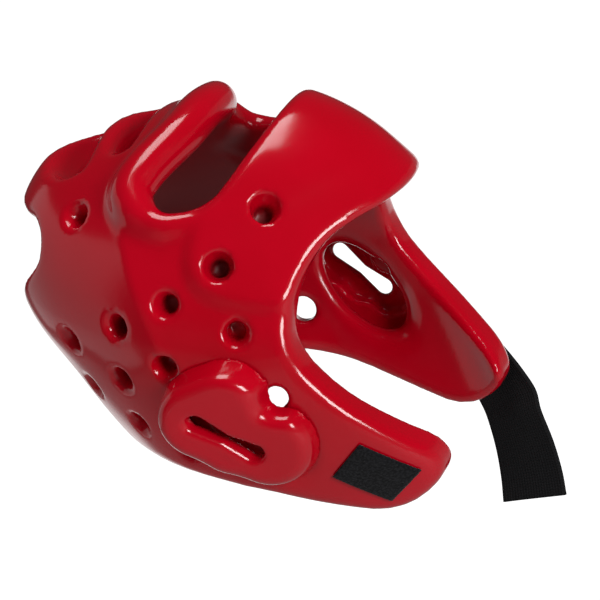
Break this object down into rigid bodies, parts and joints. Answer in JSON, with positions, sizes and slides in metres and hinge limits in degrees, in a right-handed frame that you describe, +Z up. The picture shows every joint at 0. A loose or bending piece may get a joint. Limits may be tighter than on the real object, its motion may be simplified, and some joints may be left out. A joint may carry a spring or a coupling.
{
  "type": "dipped foam sparring headgear",
  "caption": "Padded sparring headgear in dipped foam: thick brow pad, crown and nape openings, vent holes, raised ear covers, a fastener patch on one jaw and a loose webbing strap on the other",
  "frame": {"origin": "where the underside of the crown bar rests on top of the wearer's head, in the middle plane", "axes": "+X to the wearer's left, -Y forward out of the face opening, +Z up with the head upright"},
  "size_m": [0.2296, 0.2084, 0.2751],
  "materials": {
    "dipped_foam": "thick glossy vinyl dip skin over closed-cell foam, saturated red",
    "loop_fabric": "short black loop pile of a hook-and-loop fastener",
    "webbing": "flat woven black webbing"
  },
  "bodies": {
    "root": {"shell": "dipped_foam", "ear_cover_left": "dipped_foam", "ear_cover_right": "dipped_foam", "fastener_patch": "loop_fabric", "chin_strap": "webbing"}
  },
  "joints": []
}
